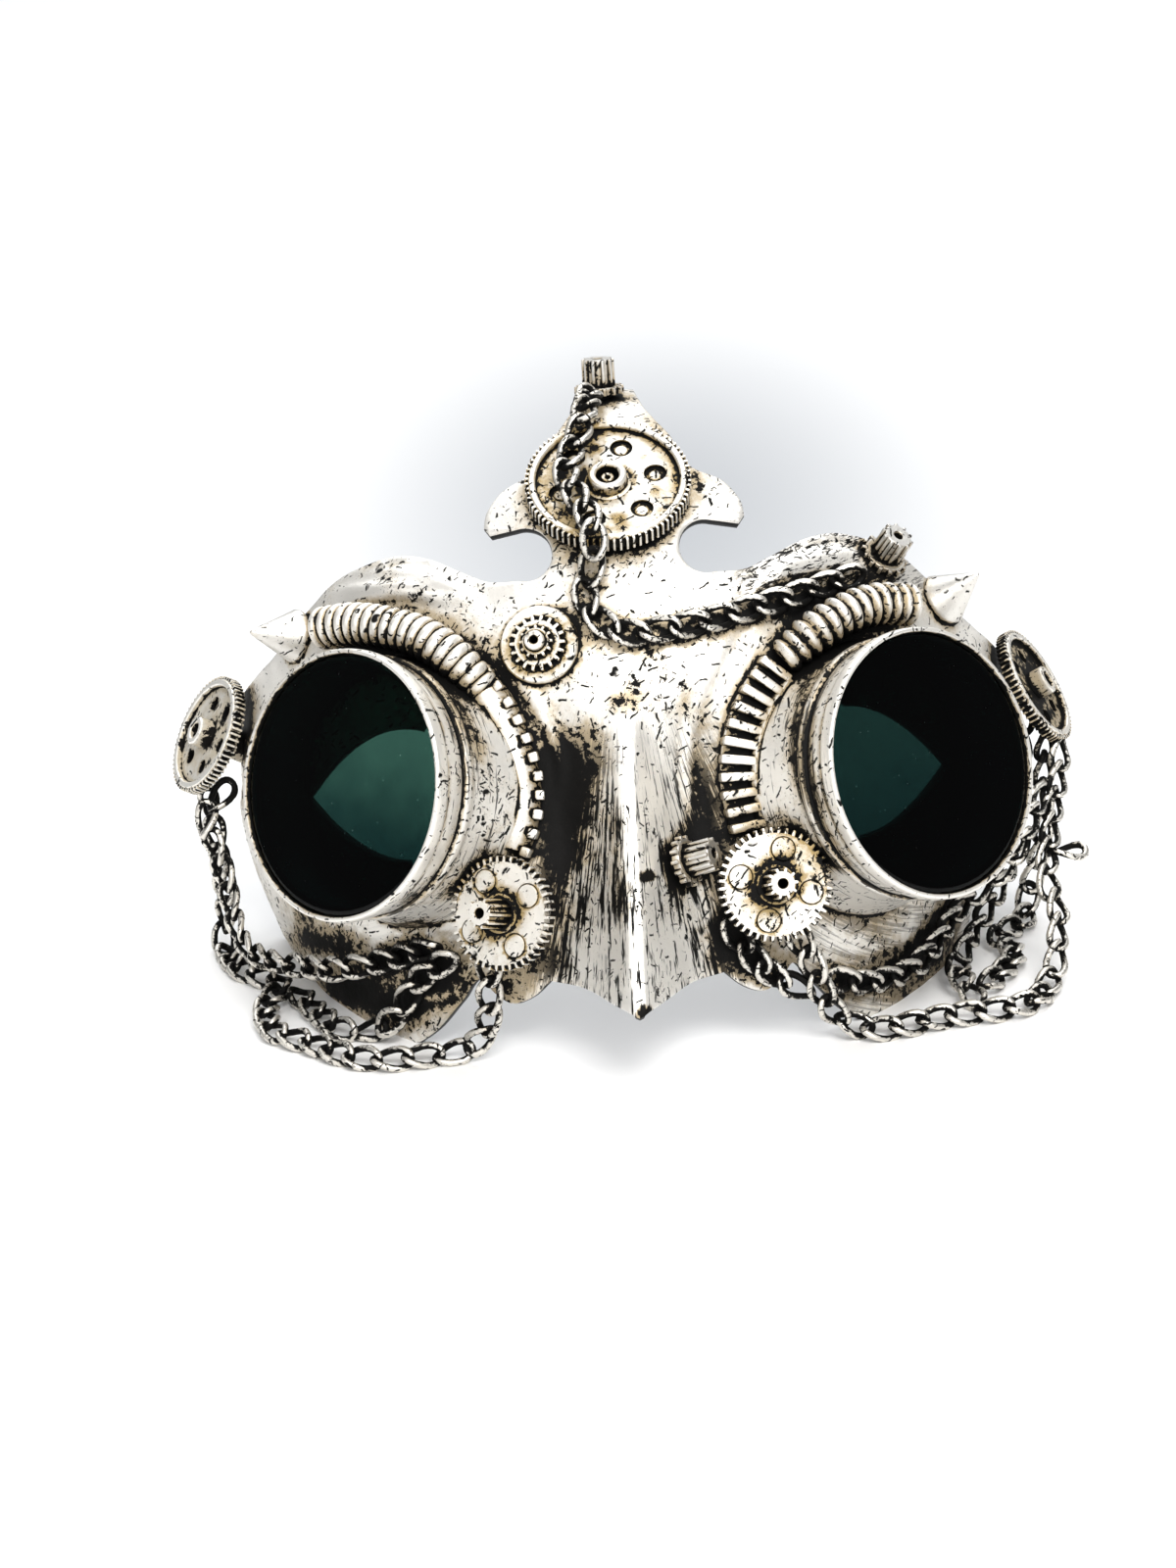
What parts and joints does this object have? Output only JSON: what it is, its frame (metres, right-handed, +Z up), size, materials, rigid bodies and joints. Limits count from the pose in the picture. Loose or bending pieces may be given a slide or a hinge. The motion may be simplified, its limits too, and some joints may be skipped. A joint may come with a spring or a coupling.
{
  "type": "venetian eye mask",
  "caption": "Moulded carnival half mask with a beaked nose and finned crest, dressed with goggle tubes, dark lenses, ribbed hoses, gears, pinions and hanging chains.",
  "frame": {"origin": "middle of the footprint, on the surface that the mask stands on", "axes": "+X to the right as seen from the front, +Y towards the wearer's head, +Z up"},
  "size_m": [0.1872, 0.1118, 0.1205],
  "materials": {
    "shell_plastic": "moulded black plastic, dry-brushed with silver and stained brown in the hollows",
    "trim_plastic": "cast plastic trim, dry-brushed with silver over black",
    "lens_plastic": "dark green see-through sheet",
    "chain_metal": "small steel chain with silver rubbed over a blackened ground"
  },
  "bodies": {
    "root": {"mask_shell": "shell_plastic", "left_goggle_tube": "trim_plastic", "right_goggle_tube": "trim_plastic", "left_lens": "lens_plastic", "right_lens": "lens_plastic", "left_hose": "trim_plastic", "right_hose": "trim_plastic", "left_rack": "trim_plastic", "right_rack": "trim_plastic", "left_spike": "trim_plastic", "right_spike": "trim_plastic", "crest_gear": "trim_plastic", "left_cheek_gear": "trim_plastic", "right_cheek_gear": "trim_plastic", "left_temple_gear": "trim_plastic", "right_temple_gear": "trim_plastic", "brow_gear": "trim_plastic", "crest_pinion": "trim_plastic", "brow_pinion": "trim_plastic", "nose_pinion": "trim_plastic", "brow_chain": "chain_metal", "left_cheek_chain": "chain_metal", "left_swag_chain": "chain_metal", "left_outer_chain": "chain_metal", "right_outer_chain": "chain_metal", "right_cheek_chain": "chain_metal", "right_swag_chain": "chain_metal", "right_back_chain": "chain_metal", "right_gear_chain": "chain_metal"}
  },
  "joints": []
}
